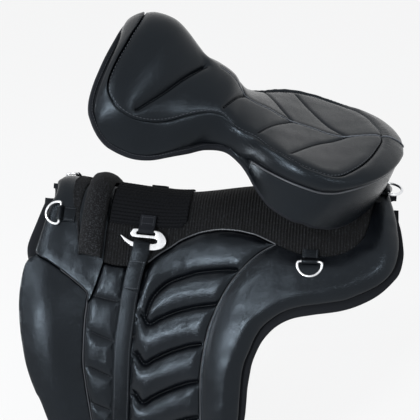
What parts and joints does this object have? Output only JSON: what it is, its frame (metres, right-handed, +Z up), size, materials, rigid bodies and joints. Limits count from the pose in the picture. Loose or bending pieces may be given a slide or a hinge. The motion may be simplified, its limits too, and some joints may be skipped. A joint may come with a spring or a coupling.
{
  "type": "treeless saddle",
  "caption": "Treeless riding saddle: flexible panels and quilted flaps over the horse's back, with a quilted hook-and-loop seat raised at the front, D-rings and stirrup hangers.",
  "frame": {"origin": "underside of the spine channel's line at mid-length, on the horse's back", "axes": "+X towards the cantle and tail, +Z up, -Y the near (left) side"},
  "size_m": [0.5442, 0.5166, 0.789],
  "materials": {
    "black_leather": "satin, fine grain",
    "loop_fabric": "rough loop pile",
    "webbing": "ribbed woven webbing",
    "panel_lining": "matt woven lining",
    "foam": "matt closed-cell foam",
    "stiffener": "matt",
    "bright_steel": "polished"
  },
  "bodies": {
    "base": {"under_panel_left": "panel_lining", "under_panel_right": "panel_lining", "spine_core": "foam", "pommel_arch": "stiffener", "billet_front_left": "black_leather", "billet_front_right": "black_leather", "billet_rear_left": "black_leather", "billet_rear_right": "black_leather", "pommel_facing": "black_leather", "seat_field": "loop_fabric", "knee_block_left": "black_leather", "knee_block_right": "black_leather", "flap_left": "black_leather", "flap_right": "black_leather", "rear_skirt_left": "black_leather", "rear_skirt_right": "black_leather", "pommel_strap": "loop_fabric", "hook_strip": "loop_fabric", "stirrup_webbing": "webbing", "hanger_loop_left": "webbing", "hanger_loop_right": "webbing", "front_chape_left": "black_leather", "front_chape_right": "black_leather", "rear_chape_left": "black_leather", "rear_chape_right": "black_leather", "tail_chape": "black_leather"},
    "seat_tab": {"cantle_hook_tab": "loop_fabric"},
    "seat": {"seat_base": "loop_fabric", "seat_hem": "panel_lining", "seat_cushion": "black_leather", "cantle_gusset": "black_leather", "rim_piping": "black_leather"},
    "front_ring_left": {"front_ring_left": "bright_steel"},
    "front_ring_right": {"front_ring_right": "bright_steel"},
    "rear_ring_left": {"rear_ring_left": "bright_steel"},
    "rear_ring_right": {"rear_ring_right": "bright_steel"},
    "tail_ring": {"tail_ring": "bright_steel"},
    "hanger_left": {"hanger_left": "bright_steel", "stirrup_fold_left": "black_leather"},
    "hanger_right": {"hanger_right": "bright_steel", "stirrup_fold_right": "black_leather"},
    "stirrup_leather_left": {"stirrup_leather_left": "black_leather"},
    "stirrup_leather_right": {"stirrup_leather_right": "black_leather"},
    "billet_front_left": {"billet_tail_front_left": "black_leather"},
    "billet_front_right": {"billet_tail_front_right": "black_leather"},
    "billet_rear_left": {"billet_tail_rear_left": "black_leather"},
    "billet_rear_right": {"billet_tail_rear_right": "black_leather"}
  },
  "joints": [
    {"name": "seat_lift_off", "type": "slide", "parent": "base", "child": "seat_tab", "axis": [0, 0, 1], "range_m": [0, 0.15]},
    {"name": "seat_tilt", "type": "hinge", "parent": "seat_tab", "child": "seat", "pos_m": [0.21712, 0, 0.05187], "axis": [0, 1, 0], "range_deg": [-30, 25]},
    {"name": "front_ring_turn_left", "type": "hinge", "parent": "base", "child": "front_ring_left", "pos_m": [-0.2437, -0.05758, 0.01317], "axis": [0.0129, 0.7389, 0.6737], "range_deg": [0, 150]},
    {"name": "front_ring_turn_right", "type": "hinge", "parent": "base", "child": "front_ring_right", "pos_m": [-0.2437, 0.05758, 0.01317], "axis": [-0.0129, 0.7389, -0.6737], "range_deg": [0, 150]},
    {"name": "rear_ring_turn_left", "type": "hinge", "parent": "base", "child": "rear_ring_left", "pos_m": [0.1217, -0.11514, -0.0048], "axis": [-0.993, 0.0804, -0.0866], "range_deg": [0, 150]},
    {"name": "rear_ring_turn_right", "type": "hinge", "parent": "base", "child": "rear_ring_right", "pos_m": [0.1217, 0.11514, -0.0048], "axis": [0.993, 0.0804, 0.0866], "range_deg": [0, 150]},
    {"name": "tail_ring_turn", "type": "hinge", "parent": "base", "child": "tail_ring", "pos_m": [0.2271, 0, 0.05337], "axis": [0, -1, 0], "range_deg": [0, 70]},
    {"name": "hanger_swing_left", "type": "hinge", "parent": "base", "child": "hanger_left", "pos_m": [-0.11705, -0.06471, -0.00381], "axis": [-0.9995, 0.0035, 0.0318], "range_deg": [0, 75]},
    {"name": "hanger_swing_right", "type": "hinge", "parent": "base", "child": "hanger_right", "pos_m": [-0.11705, 0.06471, -0.00381], "axis": [0.9995, 0.0035, -0.0318], "range_deg": [0, 75]},
    {"name": "stirrup_leather_swing_left", "type": "hinge", "parent": "hanger_left", "child": "stirrup_leather_left", "pos_m": [-0.13085, -0.11768, -0.0718], "axis": [-0.9998, 0.0172, 0.0041], "range_deg": [0, 70]},
    {"name": "stirrup_leather_swing_right", "type": "hinge", "parent": "hanger_right", "child": "stirrup_leather_right", "pos_m": [-0.13085, 0.11768, -0.0718], "axis": [0.9998, 0.0172, -0.0041], "range_deg": [0, 70]},
    {"name": "billet_front_swing_left", "type": "hinge", "parent": "base", "child": "billet_front_left", "pos_m": [-0.1011, -0.23881, -0.39869], "axis": [-0.9954, 0.0928, -0.024], "range_deg": [0, 60]},
    {"name": "billet_front_swing_right", "type": "hinge", "parent": "base", "child": "billet_front_right", "pos_m": [-0.1011, 0.23881, -0.39869], "axis": [0.9954, 0.0928, 0.024], "range_deg": [0, 60]},
    {"name": "billet_rear_swing_left", "type": "hinge", "parent": "base", "child": "billet_rear_left", "pos_m": [-0.04689, -0.23868, -0.3682], "axis": [-0.9864, 0.1584, -0.0433], "range_deg": [0, 60]},
    {"name": "billet_rear_swing_right", "type": "hinge", "parent": "base", "child": "billet_rear_right", "pos_m": [-0.04689, 0.23868, -0.3682], "axis": [0.9864, 0.1584, 0.0433], "range_deg": [0, 60]}
  ]
}
